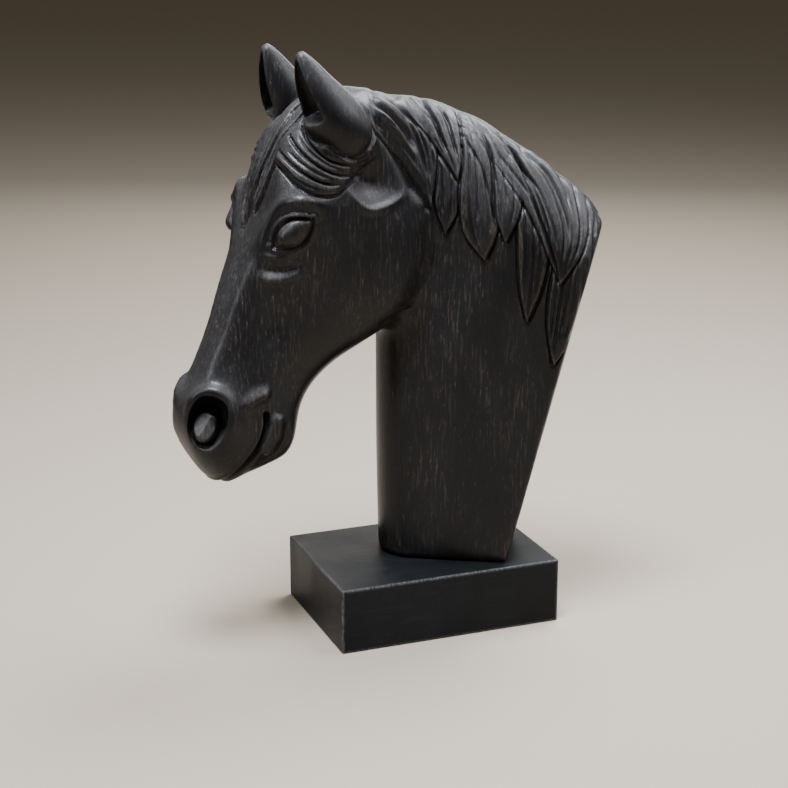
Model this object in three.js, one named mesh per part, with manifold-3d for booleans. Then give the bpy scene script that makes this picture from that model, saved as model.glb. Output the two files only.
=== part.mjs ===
// Carved wooden horse head on a rectangular block.
// Millimetres, +Z up, the origin at the middle of the block's underside.
// The block's long side lies along Y, the horse looks towards -Y and its left side is +X.
import * as THREE from 'three';
import { LoftGeometry } from 'three/addons/geometries/LoftGeometry.js';
import { RoundedBoxGeometry } from 'three/addons/geometries/RoundedBoxGeometry.js';
import { mergeVertices } from 'three/addons/utils/BufferGeometryUtils.js';
import Module from 'manifold-3d';

const wasm = await Module();
wasm.setup();

const degrees = Math.PI / 180;

// Block.
const blockWide = 170;
const blockLong = 240;
const blockHigh = 68;
const blockEdge = 1.5;
const seatGap = 0.3;

// The neck stands twisted on the block, and the head turns back towards the horse's left.
const neckTurn = -29.5;
const headTurn = 10;
const neckAxis = new THREE.Vector3(-10.5, -0.4, 0);

// The face: its brow point, and how far its line leans out from the upright.
const browPoint = new THREE.Vector3(0, -60, 520);
const faceLean = 18.5;

// The flat saw cut at the back of the neck: its reach at the block, and how it leans out.
const backCutReach = -98;
const backCutLean = 13.9;

const headStations = 34;
const neckStations = 20;
const neckSteps = 32;
const neckRound = 40;

// A row names one cross-section of the head, square to the face line, from poll to lips.
// down = distance along the face, front and back = the face and jaw lines, plane = half width
// of the flat nose front, corner = how far behind it the brow edge lies, and brow, side and jaw
// = half widths at that edge, at the cheek and at the jaw.
const headRows = [
  { down: -33, front: 20, back: -16, plane: 6, brow: 12, corner: 9, side: 14, jaw: 8 },
  { down: -27, front: 42, back: -36, plane: 13, brow: 25, corner: 19, side: 28, jaw: 18 },
  { down: -13, front: 66, back: -48, plane: 18, brow: 36, corner: 27, side: 38, jaw: 25 },
  { down: 10, front: 85, back: -58, plane: 22, brow: 43, corner: 34, side: 45, jaw: 31 },
  { down: 40, front: 95, back: -80, plane: 27, brow: 50, corner: 36, side: 50, jaw: 39 },
  { down: 75, front: 98, back: -98, plane: 31, brow: 55, corner: 30, side: 55, jaw: 47 },
  { down: 106, front: 97, back: -105, plane: 31, brow: 57, corner: 20, side: 58, jaw: 50 },
  { down: 145, front: 100, back: -101, plane: 28, brow: 50, corner: 34, side: 58, jaw: 51 },
  { down: 176, front: 103, back: -88, plane: 25, brow: 44, corner: 42, side: 54, jaw: 47 },
  { down: 203, front: 105, back: -62, plane: 23, brow: 38, corner: 40, side: 48, jaw: 40 },
  { down: 230, front: 106, back: -34, plane: 22, brow: 35, corner: 34, side: 42, jaw: 33 },
  { down: 257, front: 109, back: -16, plane: 21, brow: 34, corner: 30, side: 38, jaw: 28 },
  { down: 282, front: 112, back: -9, plane: 21, brow: 36, corner: 27, side: 37, jaw: 27 },
  { down: 308, front: 118, back: -9, plane: 23, brow: 41, corner: 28, side: 39, jaw: 29 },
  { down: 332, front: 113, back: -2, plane: 22, brow: 39, corner: 28, side: 37, jaw: 27 },
  { down: 352, front: 97, back: 14, plane: 17, brow: 32, corner: 20, side: 31, jaw: 20 },
  { down: 367, front: 80, back: 32, plane: 10, brow: 21, corner: 11, side: 22, jaw: 13 },
  { down: 374, front: 70, back: 43, plane: 4, brow: 9, corner: 6, side: 10, jaw: 6 },
];

// A row names one cross-section of the neck, from the block up and over to the poll, by its
// front and back ends: reach is forward of the neck's axis and up is height.
const neckRows = [
  { turn: neckTurn, front: [42, 58], back: [-114, 58], half: 44, backRound: 14 },
  { turn: neckTurn, front: [44, 150], back: [-140, 150], half: 43, backRound: 14 },
  { turn: neckTurn, front: [45, 228], back: [-164, 236], half: 43, backRound: 14 },
  { turn: neckTurn, front: [45, 290], back: [-188, 322], half: 43, backRound: 18 },
  { turn: neckTurn, front: [45, 312], back: [-198, 388], half: 44, backRound: 30 },
  { turn: neckTurn, front: [42, 330], back: [-180, 431], half: 43, backRound: 60 },
  { turn: neckTurn, front: [37, 346], back: [-164, 451], half: 43, backRound: 90 },
  { turn: neckTurn, front: [33, 360], back: [-138, 469], half: 43, backRound: 105 },
  { turn: neckTurn + 1, front: [30, 374], back: [-110, 490], half: 43, backRound: 110 },
  { turn: neckTurn + 3, front: [30, 388], back: [-79, 510], half: 43, backRound: 110 },
  { turn: neckTurn + 7, front: [32, 402], back: [-49, 526], half: 42, backRound: 105 },
  { turn: neckTurn + 16, front: [36, 418], back: [-10, 540], half: 41, backRound: 95 },
  { turn: neckTurn + 28, front: [44, 432], back: [23, 546], half: 39, backRound: 80 },
  { turn: headTurn, front: [58, 446], back: [46, 546], half: 35, backRound: 65 },
];

// ---- frames -------------------------------------------------------------------------------

// The way a turned part faces, level, and the way its left side points.
function facing(turn) {
  return new THREE.Vector3(Math.sin(turn * degrees), -Math.cos(turn * degrees), 0);
}

function leftOf(turn) {
  return new THREE.Vector3(Math.cos(turn * degrees), Math.sin(turn * degrees), 0);
}

// The head's own frame: x = to its left, y = out from the face, z = down the face.
function headFrame() {
  const up = new THREE.Vector3(0, 0, 1);
  const side = leftOf(headTurn);
  const out = facing(headTurn).multiplyScalar(Math.cos(faceLean * degrees));
  out.addScaledVector(up, Math.sin(faceLean * degrees));
  const down = new THREE.Vector3().crossVectors(side, out);
  return new THREE.Matrix4().makeBasis(side, out, down).setPosition(browPoint);
}

const head = headFrame();

function neckPoint(turn, reach, side, up) {
  const point = neckAxis.clone().setZ(up);
  point.addScaledVector(facing(turn), reach);
  return point.addScaledVector(leftOf(turn), side);
}

// ---- solids -------------------------------------------------------------------------------

// A geometry with its seams closed, keeping only where its points are.
function weld(geometry) {
  const bare = new THREE.BufferGeometry();
  bare.setAttribute('position', geometry.attributes.position);
  bare.setIndex(geometry.index);
  return mergeVertices(bare, 1e-3);
}

function solid(geometry) {
  const welded = weld(geometry);
  return new wasm.Manifold(new wasm.Mesh({
    numProp: 3,
    vertProperties: new Float32Array(welded.attributes.position.array),
    triVerts: new Uint32Array(welded.index.array),
  }));
}

function toGeometry(body) {
  const mesh = body.getMesh();
  const geometry = new THREE.BufferGeometry();
  geometry.setAttribute('position', new THREE.BufferAttribute(mesh.vertProperties, 3));
  geometry.setIndex(new THREE.BufferAttribute(mesh.triVerts, 1));
  geometry.computeVertexNormals();
  return geometry;
}

function loft(sections) {
  return new LoftGeometry(sections, { closed: true, capStart: true, capEnd: true });
}

// A smooth value between the rows of a table, at t from 0, the first row, to 1, the last.
function blendRows(values, t) {
  const last = values.length - 1;
  const at = Math.min(t * last, last - 1e-9);
  const i = Math.floor(at);
  const pick = (k) => values[Math.min(Math.max(k, 0), last)];
  const u = at - i;
  const slopeA = (pick(i + 1) - pick(i - 1)) / 2;
  const slopeB = (pick(i + 2) - pick(i)) / 2;
  const a = 2 * u ** 3 - 3 * u ** 2 + 1;
  const b = u ** 3 - 2 * u ** 2 + u;
  const c = -2 * u ** 3 + 3 * u ** 2;
  const d = u ** 3 - u ** 2;
  return a * pick(i) + b * slopeA + c * pick(i + 1) + d * slopeB;
}

function rowAt(rows, t) {
  const row = {};
  for (const name of Object.keys(rows[0])) {
    row[name] = blendRows(rows.map((r) => r[name]), t);
  }
  return row;
}

// A soft swelling or hollow: 1 at its middle, fading to 0 at about its radii.
function swell(point, middle, radii) {
  const x = (Math.abs(point.x) - middle[0]) / radii[0];
  const y = (point.y - middle[1]) / radii[1];
  const z = (point.z - middle[2]) / radii[2];
  return Math.exp(-2 * (x * x + y * y + z * z));
}

// ---- head ---------------------------------------------------------------------------------

function headSection(row) {
  const deep = row.front - row.back;
  const half = [
    [0, row.front],
    [row.plane * 0.6, row.front - 0.5],
    [row.plane, row.front - 3],
    [row.brow, row.front - row.corner],
    [row.side, row.front - 0.52 * deep],
    [row.jaw, row.front - 0.86 * deep],
    [0, row.back],
  ];
  const corners = half.map(([side, out]) => new THREE.Vector3(-side, out, row.down));
  for (const [side, out] of half.slice(1, -1).reverse()) {
    corners.push(new THREE.Vector3(side, out, row.down));
  }
  const curve = new THREE.CatmullRomCurve3(corners, true, 'catmullrom', 0.5);
  const steps = corners.length * 4;
  return Array.from({ length: steps }, (_, i) => curve.getPoint(i / steps));
}

// The larger carving of the face, as heights above the plain form.
function faceRelief(p) {
  let high = 0;
  high += 7 * swell(p, [54, 80, 93], [24, 30, 14]);
  high += 3 * swell(p, [54, 80, 146], [24, 36, 10]);
  high -= 7 * swell(p, [58, 80, 120], [18, 28, 15]);
  high -= 5 * swell(p, [50, 14, 46], [24, 40, 22]);
  high += 4 * swell(p, [54, 6, 82], [20, 50, 13]);
  high -= 4 * swell(p, [40, 66, 228], [18, 30, 50]);
  high += 6 * swell(p, [38, 108, 290], [17, 26, 13]);
  high += 3 * swell(p, [40, 84, 318], [14, 16, 24]);
  high += 4 * swell(p, [30, 18, 312], [26, 24, 28]);
  high -= 5 * swell(p, [18, 32, 368], [30, 8, 12]);
  return high;
}

function raise(geometry, relief) {
  const normals = geometry.attributes.normal;
  const places = geometry.attributes.position;
  const point = new THREE.Vector3();
  const normal = new THREE.Vector3();
  for (let i = 0; i < places.count; i += 1) {
    point.fromBufferAttribute(places, i);
    normal.fromBufferAttribute(normals, i);
    point.addScaledVector(normal, relief(point));
    places.setXYZ(i, point.x, point.y, point.z);
  }
  return geometry;
}

function headForm() {
  const sections = [];
  for (let i = 0; i <= headStations; i += 1) {
    sections.push(headSection(rowAt(headRows, i / headStations)));
  }
  const welded = weld(loft(sections));
  welded.computeVertexNormals();
  return raise(welded, faceRelief).applyMatrix4(head);
}

// ---- neck ---------------------------------------------------------------------------------

function neckSection(row) {
  const front = new THREE.Vector2(row.frontReach, row.frontUp);
  const back = new THREE.Vector2(row.backReach, row.backUp);
  const long = front.distanceTo(back);
  const points = [];
  for (let i = 0; i < neckSteps; i += 1) {
    const angle = (i / neckSteps) * 2 * Math.PI;
    const along = long * (1 - Math.cos(angle)) / 2;
    const toFront = Math.min(along / neckRound, 1);
    const toBack = Math.min((long - along) / row.backRound, 1);
    const thick = Math.sqrt(Math.max(0, 1 - (1 - toFront) ** 2) * Math.max(0, 1 - (1 - toBack) ** 2));
    const side = Math.sign(Math.sin(angle)) * row.half * thick;
    const spot = front.clone().lerp(back, along / long);
    points.push(neckPoint(row.turn, spot.x, side, spot.y));
  }
  return points;
}

function neckForm() {
  const rows = neckRows.map((r) => ({
    turn: r.turn,
    frontReach: r.front[0],
    frontUp: r.front[1],
    backReach: r.back[0],
    backUp: r.back[1],
    half: r.half,
    backRound: r.backRound,
  }));
  const sections = [];
  for (let i = 0; i <= neckStations; i += 1) {
    sections.push(neckSection(rowAt(rows, i / neckStations)));
  }
  return loft(sections);
}

// What the saw took off: below the foot, and behind the leaning back cut.
function sawCuts() {
  const below = new THREE.BoxGeometry(600, 600, 200);
  below.translate(0, 0, blockHigh + seatGap - 100);
  const behind = new THREE.BoxGeometry(400, 200, 1200);
  behind.translate(0, 100, 0);
  behind.rotateX(-backCutLean * degrees);
  behind.rotateZ(neckTurn * degrees);
  const foot = neckPoint(neckTurn, backCutReach, 0, blockHigh);
  behind.translate(foot.x, foot.y, foot.z);
  return solid(below).add(solid(behind));
}

// ---- ears, eyes, nostrils and mouth ---------------------------------------------------------

const earRows = [
  { along: -29, wide: 5, deep: 6 },
  { along: -22, wide: 19, deep: 20 },
  { along: -8, wide: 26, deep: 28 },
  { along: 12, wide: 27, deep: 30 },
  { along: 32, wide: 23, deep: 26 },
  { along: 52, wide: 17, deep: 20 },
  { along: 67, wide: 11, deep: 14 },
  { along: 78, wide: 6.5, deep: 8 },
  { along: 84, wide: 2, deep: 2.5 },
];

// A blunt cone along an ear's axis. shift moves it towards the opening at the ear's front.
function earCone(rows, steps, around, shift, scale) {
  const sections = [];
  for (let i = 0; i <= steps; i += 1) {
    const row = rowAt(rows, i / steps);
    sections.push(Array.from({ length: around }, (_, k) => {
      const angle = (k / around) * 2 * Math.PI;
      return new THREE.Vector3(
        scale * row.wide * Math.cos(angle),
        scale * row.deep * Math.sin(angle) + shift * row.deep,
        row.along,
      );
    }));
  }
  return loft(sections);
}

// Places a shape made along +Z, with its front towards +Y, on one side of the head.
function onEar(geometry, hand) {
  const lean = new THREE.Vector3(-0.05 * hand, 0.71, -0.7).normalize();
  const front = new THREE.Vector3(0, 0.7, 0.7);
  const across = new THREE.Vector3().crossVectors(front, lean).normalize();
  front.crossVectors(lean, across);
  const frame = new THREE.Matrix4().makeBasis(across, front, lean);
  frame.setPosition(45 * hand, 49, 16);
  return geometry.applyMatrix4(frame).applyMatrix4(head);
}

function ear(hand) {
  const shell = solid(onEar(earCone(earRows, 10, 16, 0, 1), hand));
  const inside = earRows.filter((row) => row.along > 10 && row.along < 80);
  const hollow = solid(onEar(earCone(inside, 6, 10, 0.75, 0.62), hand));
  return shell.subtract(hollow);
}

function ball(radii, middle, turn = [0, 0, 0]) {
  const shape = new THREE.SphereGeometry(1, 14, 9);
  shape.scale(...radii);
  shape.rotateX(turn[0] * degrees);
  shape.rotateY(turn[1] * degrees);
  shape.rotateZ(turn[2] * degrees);
  shape.translate(...middle);
  return solid(shape.applyMatrix4(head));
}

function eye(hand) {
  return ball([10, 13, 20], [51 * hand, 80, 120], [-38, 0, -20 * hand]);
}

function nostril(hand) {
  return ball([17, 17, 19], [40 * hand, 110, 316]);
}

// The mouth is a slit that deepens from its corner to the lips, cut only a little way in.
function mouth() {
  const upper = new THREE.SplineCurve([
    new THREE.Vector2(48, 296),
    new THREE.Vector2(46, 314),
    new THREE.Vector2(49, 340),
    new THREE.Vector2(57, 382),
  ]);
  const lower = new THREE.SplineCurve([
    new THREE.Vector2(50, 384),
    new THREE.Vector2(43, 340),
    new THREE.Vector2(40, 314),
    new THREE.Vector2(44, 296),
  ]);
  const outline = new THREE.Shape([...upper.getPoints(8), ...lower.getPoints(8)]);
  const slab = new THREE.ExtrudeGeometry(outline, { depth: 120, bevelEnabled: false });
  slab.translate(0, 0, -60);
  slab.applyMatrix4(new THREE.Matrix4().makeBasis(
    new THREE.Vector3(0, 1, 0),
    new THREE.Vector3(0, 0, 1),
    new THREE.Vector3(1, 0, 0),
  ));
  const tongue = ball([28, 60, 66], [0, 50, 298]);
  return solid(slab.applyMatrix4(head)).subtract(tongue);
}

// ---- hair -----------------------------------------------------------------------------------

// A view is how a lock is laid on the form: across and along are measured in its plane from its
// origin, and the lock is pressed on against the way it looks out.
function neckView(hand) {
  return {
    origin: neckPoint(neckTurn, 0, 0, 0),
    across: facing(neckTurn),
    along: new THREE.Vector3(0, 0, 1),
    out: leftOf(neckTurn).multiplyScalar(hand),
    turned: hand > 0,
  };
}

function headView(side, out) {
  const [x, y, z] = [0, 1, 2].map((i) => new THREE.Vector3().setFromMatrixColumn(head, i));
  const look = x.clone().multiplyScalar(side).addScaledVector(y, out).normalize();
  const across = new THREE.Vector3().crossVectors(look, z).normalize();
  return { origin: browPoint, across, along: z, out: look, turned: true };
}

function touch(skin, view, spot) {
  const start = view.origin.clone().addScaledVector(view.across, spot.x);
  start.addScaledVector(view.along, spot.y).addScaledVector(view.out, 400);
  const hits = new THREE.Raycaster(start, view.out.clone().negate()).intersectObject(skin);
  const far = hits.length > 0 ? hits[0].distance : 400;
  return start.addScaledVector(view.out, -far);
}

const lockSteps = 6;
const lockAround = 6;

// A leaf-shaped lock along a path of [across, along] places from root to tip. It thickens
// towards its tip, so that it laps over what lies below it.
function lock(skin, view, path, wide, thick) {
  const line = new THREE.SplineCurve(path.map(([x, y]) => new THREE.Vector2(x, y)));
  const sections = [];
  for (let i = 0; i <= lockSteps; i += 1) {
    const t = 0.985 * i / lockSteps;
    const heading = line.getTangent(t);
    const half = 0.78 * wide * (t + 0.1) ** 0.4 * (1 - t) ** 0.6;
    const ring = [];
    for (let k = 0; k < lockAround; k += 1) {
      const angle = (view.turned ? -1 : 1) * (k / lockAround) * 2 * Math.PI;
      const away = half * Math.cos(angle);
      const spot = line.getPoint(t);
      spot.x -= heading.y * away;
      spot.y += heading.x * away;
      const rise = Math.sin(angle) > -0.01 ? thick * (0.5 + 0.5 * t) * Math.sin(angle) : -6;
      ring.push(touch(skin, view, spot).addScaledVector(view.out, rise));
    }
    sections.push(ring);
  }
  return solid(loft(sections));
}

// The mane's locks on the left, where it falls: path from root to tip, and width.
const leftLocks = [
  { path: [[20, 532], [14, 498], [3, 468], [-10, 445]], wide: 36 },
  { path: [[-160, 438], [-160, 390], [-152, 334], [-141, 288]], wide: 34 },
  { path: [[-108, 470], [-119, 410], [-121, 360], [-114, 327]], wide: 36 },
  { path: [[-26, 498], [-33, 460], [-33, 436], [-30, 416]], wide: 34 },
  { path: [[-46, 516], [-56, 460], [-66, 420], [-70, 389]], wide: 42 },
  { path: [[-64, 510], [-84, 474], [-91, 440], [-90, 409]], wide: 38 },
  { path: [[-102, 486], [-134, 446], [-149, 408], [-146, 370]], wide: 44 },
  { path: [[-8, 534], [-20, 512], [-32, 488], [-42, 466]], wide: 32 },
];

// Plainer locks on the right, where the mane only turns over the crest.
const rightLocks = [
  { path: [[10, 530], [0, 508], [-10, 488], [-14, 470]], wide: 36 },
  { path: [[-24, 522], [-38, 498], [-46, 474], [-46, 450]], wide: 38 },
  { path: [[-62, 506], [-78, 480], [-86, 452], [-84, 424]], wide: 40 },
  { path: [[-100, 484], [-116, 452], [-124, 420], [-120, 388]], wide: 40 },
  { path: [[-134, 458], [-152, 424], [-158, 384], [-150, 344]], wide: 38 },
];

function hair(skin) {
  const locks = leftLocks.map((l) => lock(skin, neckView(1), l.path, l.wide, 7));
  locks.push(...rightLocks.map((l) => lock(skin, neckView(-1), l.path, l.wide, 5)));
  const forehead = [[-2, -10], [0, 30], [-3, 75], [2, 112]];
  locks.push(lock(skin, headView(0, 1), forehead, 26, 5));
  for (const hand of [-1, 1]) {
    const swag = [[-50, 8], [-44, 38], [-22, 56], [2, 52], [12, 34]];
    const path = swag.map(([across, down]) => [hand * across, down]);
    locks.push(lock(skin, headView(0.75 * hand, 0.66), path, 34, 5));
  }
  return locks;
}

// ---- the finished pieces --------------------------------------------------------------------

function horseHead() {
  let body = solid(headForm()).add(solid(neckForm()));
  const locks = hair(new THREE.Mesh(toGeometry(body)));
  for (const one of locks) {
    body = body.add(one);
  }
  for (const hand of [-1, 1]) {
    body = body.add(ear(hand)).add(eye(hand)).subtract(nostril(hand));
  }
  body = body.subtract(mouth());
  body = body.subtract(sawCuts());
  const wood = new THREE.MeshStandardMaterial({ color: 0x2b2c2e, roughness: 0.5, metalness: 0 });
  const mesh = new THREE.Mesh(toGeometry(body), wood);
  mesh.name = 'horse_head';
  return mesh;
}

function plinth() {
  const shape = new RoundedBoxGeometry(blockWide, blockLong, blockHigh, 1, blockEdge);
  shape.translate(0, 0, blockHigh / 2);
  const wood = new THREE.MeshStandardMaterial({ color: 0x1e2123, roughness: 0.55, metalness: 0 });
  const mesh = new THREE.Mesh(shape, wood);
  mesh.name = 'plinth';
  return mesh;
}

const sculpture = new THREE.Group();
sculpture.add(plinth());
sculpture.add(horseHead());

export default sculpture;
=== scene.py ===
import math

import bpy
import numpy as np
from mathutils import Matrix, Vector


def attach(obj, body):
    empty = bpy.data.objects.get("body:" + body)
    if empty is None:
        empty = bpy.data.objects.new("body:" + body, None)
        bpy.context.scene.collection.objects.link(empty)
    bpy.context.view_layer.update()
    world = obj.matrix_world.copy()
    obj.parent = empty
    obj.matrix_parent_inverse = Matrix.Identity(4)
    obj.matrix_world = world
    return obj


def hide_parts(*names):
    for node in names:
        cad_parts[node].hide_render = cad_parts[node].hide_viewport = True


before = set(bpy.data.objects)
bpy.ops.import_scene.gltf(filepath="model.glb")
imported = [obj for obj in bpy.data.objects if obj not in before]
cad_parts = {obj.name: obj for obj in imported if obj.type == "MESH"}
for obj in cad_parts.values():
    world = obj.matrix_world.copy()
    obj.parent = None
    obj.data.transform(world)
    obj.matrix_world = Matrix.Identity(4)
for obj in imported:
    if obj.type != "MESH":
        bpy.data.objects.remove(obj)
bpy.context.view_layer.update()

MM = 0.001

# ---- the maker's frames, as in the solid: millimetres and degrees --------------------------------

NECK_TURN = -29.5            # the neck's twist on its block
HEAD_TURN = 10.0             # the head turns back to the horse's left
FACE_LEAN = 18.5             # the face line leans out from the upright
NECK_AXIS = np.array([-10.5, -0.4, 0.0])
BROW_POINT = np.array([0.0, -60.0, 520.0])
BLOCK_TOP = 68.0             # the neck stands on the block at this height
FOOT_BACK = -98.0            # the neck's back edge at its foot, in the neck's reach
BACK_CUT_LEAN = 13.9         # the saw cut at the back leans out from the upright
EYE = np.array([56.0, 80.0, 120.0])          # side, out and down from the brow
NOSTRIL_MIDDLE = np.array([39.0, 108.0, 316.0])
VOXEL = 4.2                  # the rough form's face size
MOST_TRIANGLES = 196000


def facing(turn):
    """The level way that the horse faces after a turn to its left."""
    angle = math.radians(turn)
    return np.array([math.sin(angle), -math.cos(angle), 0.0])


def left_of(turn):
    angle = math.radians(turn)
    return np.array([math.cos(angle), math.sin(angle), 0.0])


UP = np.array([0.0, 0.0, 1.0])
SIDE = left_of(HEAD_TURN)
OUT = facing(HEAD_TURN) * math.cos(math.radians(FACE_LEAN)) + UP * math.sin(math.radians(FACE_LEAN))
DOWN = np.cross(SIDE, OUT)
HEAD = np.array([SIDE, OUT, DOWN])
NECK = np.array([facing(NECK_TURN), left_of(NECK_TURN), UP])


def cut_back(up):
    """The reach of the slanted cut at a height."""
    return FOOT_BACK - math.tan(math.radians(BACK_CUT_LEAN)) * (up - BLOCK_TOP)


def to_head(points):
    """side, out and down of each point, measured from the brow."""
    return (points - BROW_POINT) @ HEAD.T


def from_head(spots):
    """Points at the given side, out and down from the brow."""
    return np.asarray(spots, float) @ HEAD + BROW_POINT


def to_neck(points):
    """reach, side and up of each point, measured from the neck's axis."""
    return (points - NECK_AXIS) @ NECK.T


# ---- camera --------------------------------------------------------------------------------------

def add_camera():
    data = bpy.data.cameras.new("camera")
    data.lens = 83.52
    data.sensor_width = 36.0
    camera = bpy.data.objects.new("camera", data)
    bpy.context.scene.collection.objects.link(camera)
    camera.location = (1.6833, -0.6837, 0.7717)
    look = Vector((-0.8946, 0.3466, -0.2820))
    camera.rotation_euler = look.to_track_quat("-Z", "Y").to_euler()
    bpy.context.scene.camera = camera


add_camera()

# ---- mesh work -----------------------------------------------------------------------------------

def only(obj):
    """Makes one object the active one and the only one selected."""
    bpy.ops.object.select_all(action="DESELECT")
    obj.select_set(True)
    bpy.context.view_layer.objects.active = obj


def places(obj):
    """The object's vertices in millimetres."""
    flat = np.empty(len(obj.data.vertices) * 3)
    obj.data.vertices.foreach_get("co", flat)
    return flat.reshape(-1, 3) / MM


def put(obj, points):
    """Moves the object's vertices to points in millimetres."""
    obj.data.vertices.foreach_set("co", (points * MM).ravel())
    obj.data.update()


def normals_of(obj):
    flat = np.empty(len(obj.data.vertices) * 3, np.float32)
    obj.data.vertex_normals.foreach_get("vector", flat)
    return flat.reshape(-1, 3).astype(float)


def edges_of(obj):
    flat = np.empty(len(obj.data.edges) * 2, np.int64)
    obj.data.edges.foreach_get("vertices", flat)
    return flat.reshape(-1, 2)


def near_mean(points, edges):
    """The mean of each vertex's neighbours."""
    count = len(points)
    share = np.bincount(edges.ravel(), minlength=count).astype(float)
    total = np.empty_like(points)
    for axis in range(points.shape[1]):
        a = np.bincount(edges[:, 0], weights=points[edges[:, 1], axis], minlength=count)
        b = np.bincount(edges[:, 1], weights=points[edges[:, 0], axis], minlength=count)
        total[:, axis] = a + b
    return total / np.maximum(share, 1)[:, None]


def soften(points, edges, strength, rounds, keep_size=True):
    """Rubs the surface down. strength is 0 to 1 for each vertex, and keep_size pushes it back out."""
    for _ in range(rounds):
        points = points + (near_mean(points, edges) - points) * (0.55 * strength)[:, None]
        if keep_size:
            points = points - (near_mean(points, edges) - points) * (0.57 * strength)[:, None]
    return points


def apply_modifier(obj, kind, **settings):
    """Adds a modifier unseen, so it is worked out only once, and applies it."""
    only(obj)
    modifier = obj.modifiers.new(kind.lower(), kind)
    modifier.show_viewport = False
    for name, value in settings.items():
        setattr(modifier, name, value)
    bpy.ops.object.modifier_apply(modifier=modifier.name)


def cut(body, tools, how):
    """Joins tool shapes to the body, or takes them away, and clears them."""
    only(tools[0])
    for tool in tools[1:]:
        tool.select_set(True)
    bpy.ops.object.join()
    apply_modifier(body, "BOOLEAN", object=tools[0], operation=how, solver="MANIFOLD")
    bpy.data.objects.remove(tools[0])


def smooth_step(value, low, high):
    """0 below low, 1 above high, and a smooth rise between them."""
    t = np.clip((value - low) / (high - low), 0.0, 1.0)
    return t * t * (3 - 2 * t)


# ---- the ears' frame -----------------------------------------------------------------------------

# The ear's shell and hollow: along, half width, half depth and how far it sits forward.
EAR = [(-29, 4, 4, -6), (-22, 18, 18, -6), (-8, 25.5, 25, -6), (12, 26.5, 28, -3), (32, 23, 26, 0.5),
       (52, 17.5, 19.5, 2), (67, 12, 14, 1.5), (79, 7, 8, 0.5), (87, 2.5, 3, 0)]
EAR_HOLLOW = [(23, 2, 2, 15), (23.6, 17, 18, 15), (36, 18, 19, 15), (50, 14.5, 16.5, 13),
              (64, 10, 12.5, 11), (75, 5.5, 8, 9), (83, 1, 2, 8)]


def ear_axes(hand):
    """The ear's across, front and along, in the head's frame. hand is 1 on its left, -1 on its right."""
    lean = np.array([-0.05 * hand, 0.71, -0.70])
    lean /= np.linalg.norm(lean)
    across = np.cross([0.0, 0.7, 0.7], lean)
    across /= np.linalg.norm(across)
    return np.array([across, np.cross(lean, across), lean])


def ear_root(hand):
    """Where an ear grows from the head. The left one is set a little forward of the right."""
    return np.array([45.0 * hand, 51.5 + 3.0 * hand, 16.0 + 1.0 * hand])


def to_ear(points, hand):
    """across, front and along of each point, measured from the ear's root."""
    return (to_head(points) - ear_root(hand)) @ ear_axes(hand).T


def ear_gap(points, hand):
    """How far each point lies outside the ear's shell, in millimetres."""
    across, front, along = to_ear(points, hand).T
    rows = curve_through(EAR, 8)
    wide, deep, forward = (np.interp(along, rows[:, 0], rows[:, i]) for i in (1, 2, 3))
    size = np.sqrt((across / wide) ** 2 + ((front - forward) / deep) ** 2)
    gap = (size - 1) * 0.5 * (wide + deep)
    return np.maximum(gap, -29 - along)


# ---- the rough form ------------------------------------------------------------------------------

def thin_ears(points):
    """Draws the solid's ears in to thin cores, which the full ears cover later."""
    for hand in (-1, 1):
        local = to_ear(points, hand)
        across, front, along = local.T
        mine = (along > 4) & (np.abs(across) < 36) & (np.abs(front + 4) < 40)
        pull = smooth_step(along, 4, 26) * mine
        local[:, 0] -= across * 0.55 * pull
        local[:, 1] -= (front + 2) * 0.55 * pull
        local[:, 2] -= (along - 4) * 0.2 * pull
        points = from_head(ear_root(hand) + local @ ear_axes(hand))
    return points


def rough_form():
    """The solid's shape in fine, even faces, with its flat facets rubbed away."""
    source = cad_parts["horse_head"]
    form = bpy.data.objects.new("horse_head_carved", source.data.copy())
    bpy.context.scene.collection.objects.link(form)
    only(form)
    bpy.ops.object.mode_set(mode="EDIT")
    bpy.ops.mesh.select_all(action="SELECT")
    bpy.ops.mesh.remove_doubles(threshold=0.00001)
    bpy.ops.object.mode_set(mode="OBJECT")
    form.data.materials.clear()
    put(form, thin_ears(places(form)))
    apply_modifier(form, "REMESH", mode="VOXEL", voxel_size=VOXEL * MM)
    points = places(form)
    edges = edges_of(form)
    spots = np.abs(to_head(points))
    eye = smooth_step(-np.linalg.norm(spots - [55, 82, 120], axis=1), -36, -20)
    nose = smooth_step(spots[:, 1], 50, 70) * smooth_step(spots[:, 2], 130, 160)
    nose *= smooth_step(-spots[:, 2], -290, -265)
    reach, side, up = to_neck(points).T
    mane = smooth_step(up, 300, 330) * smooth_step(np.abs(side), 16, 26) * smooth_step(-reach, -62, -50)
    mane *= smooth_step(reach, -176, -150)
    points = soften(points, edges, eye, 26, keep_size=False)
    points = soften(points, edges, nose, 8, keep_size=False)
    points = soften(points, edges, mane, 26, keep_size=False)
    reach, side, up = to_neck(points).T
    foot = points[:, 2].min()
    strength = 0.25 + 0.75 * smooth_step(np.minimum(up - foot, reach - cut_back(up)), 3, 14)
    points = soften(points, edges, strength, 14)
    points = soften(points, edges, strength, 5, keep_size=False)
    put(form, points)
    apply_modifier(form, "SUBSURF", levels=2, render_levels=2)
    return form


# ---- carving tools -------------------------------------------------------------------------------

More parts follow.
